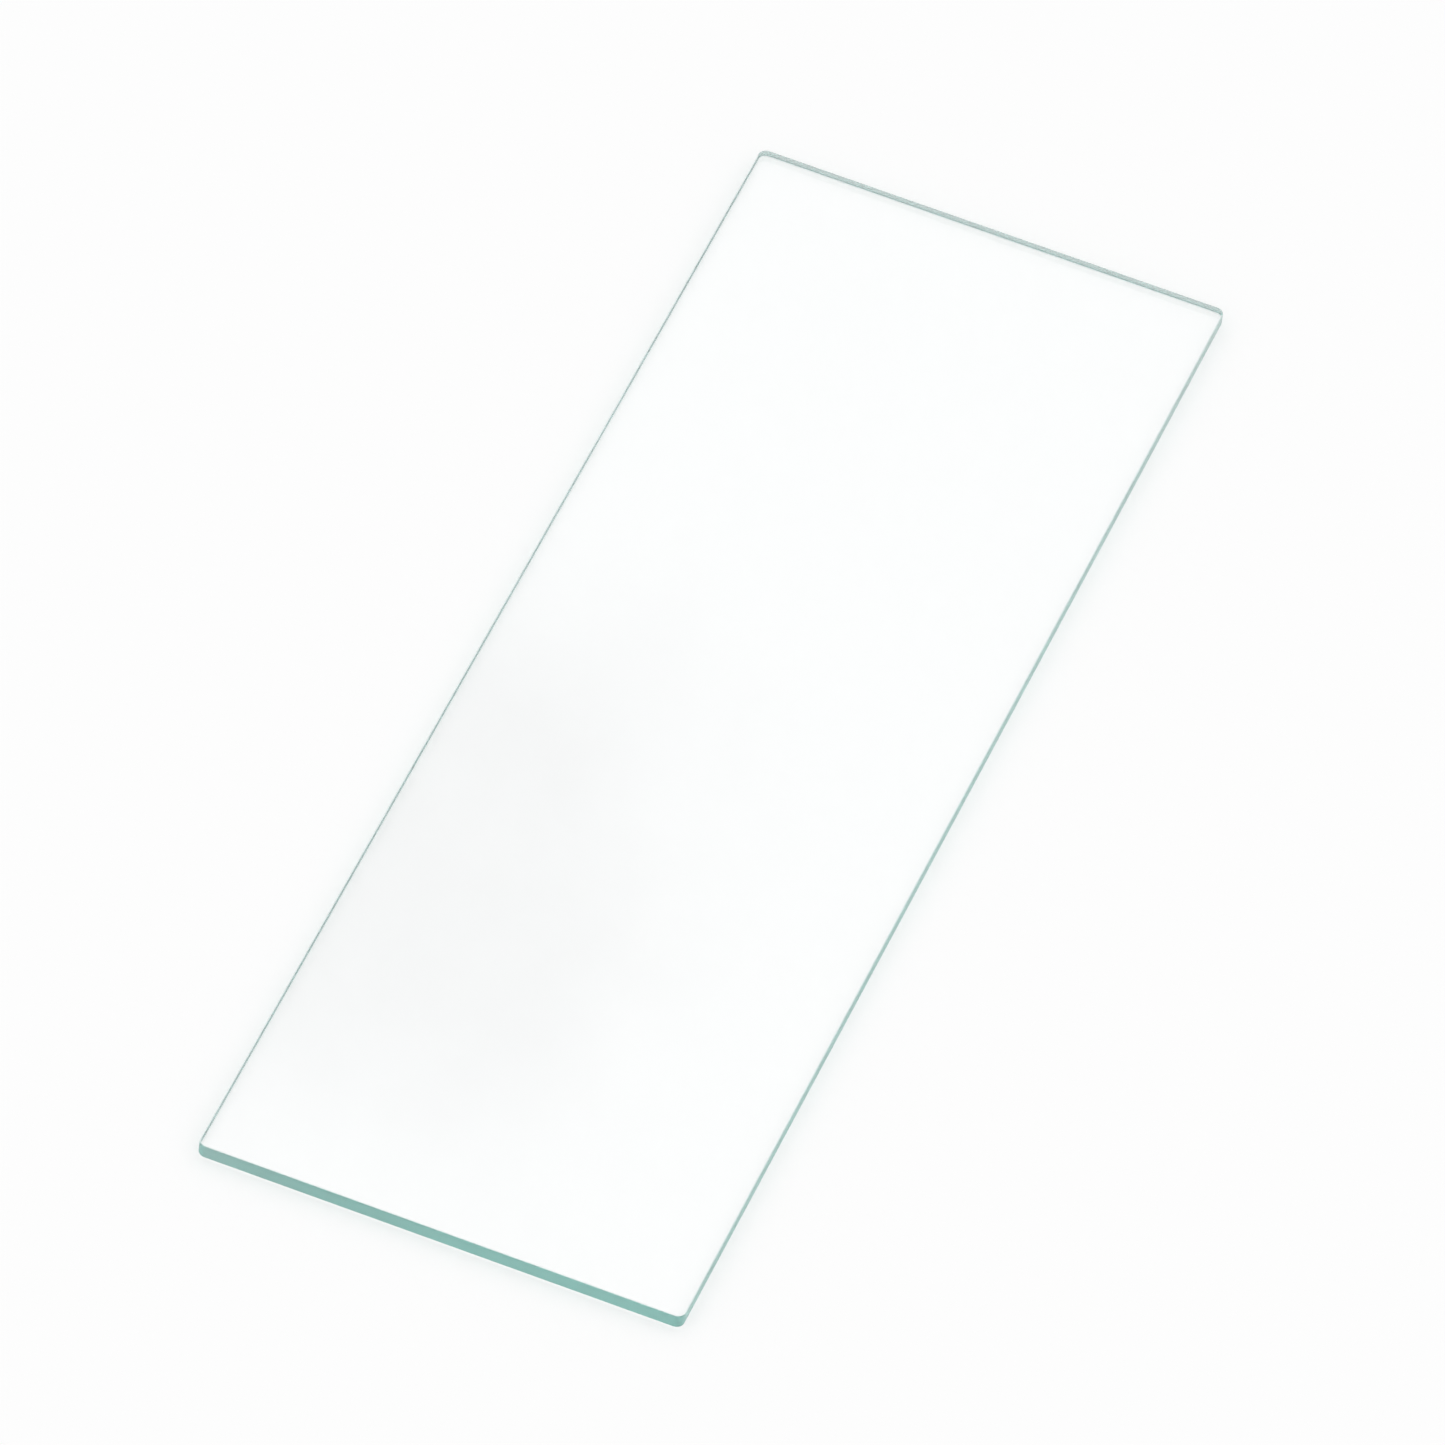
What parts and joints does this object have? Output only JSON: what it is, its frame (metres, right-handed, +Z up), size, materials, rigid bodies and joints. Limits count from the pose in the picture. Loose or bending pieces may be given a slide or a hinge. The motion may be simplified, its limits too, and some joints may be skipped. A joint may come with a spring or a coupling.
{
  "type": "microscope slide",
  "caption": "Thin rectangular pane of clear glass with rounded corners and seamed edges, which carries a specimen on a microscope stage.",
  "frame": {"origin": "on the plane that the slide rests on, under the centre of the pane", "axes": "+X along the slide's length, +Y across its width, +Z up through its thickness"},
  "size_m": [0.0762, 0.0254, 0.0008],
  "materials": {
    "clear_glass": "clear polished soda-lime glass, pale green-blue where it is looked into through an edge"
  },
  "bodies": {
    "root": {"glass_slide": "clear_glass"}
  },
  "joints": []
}
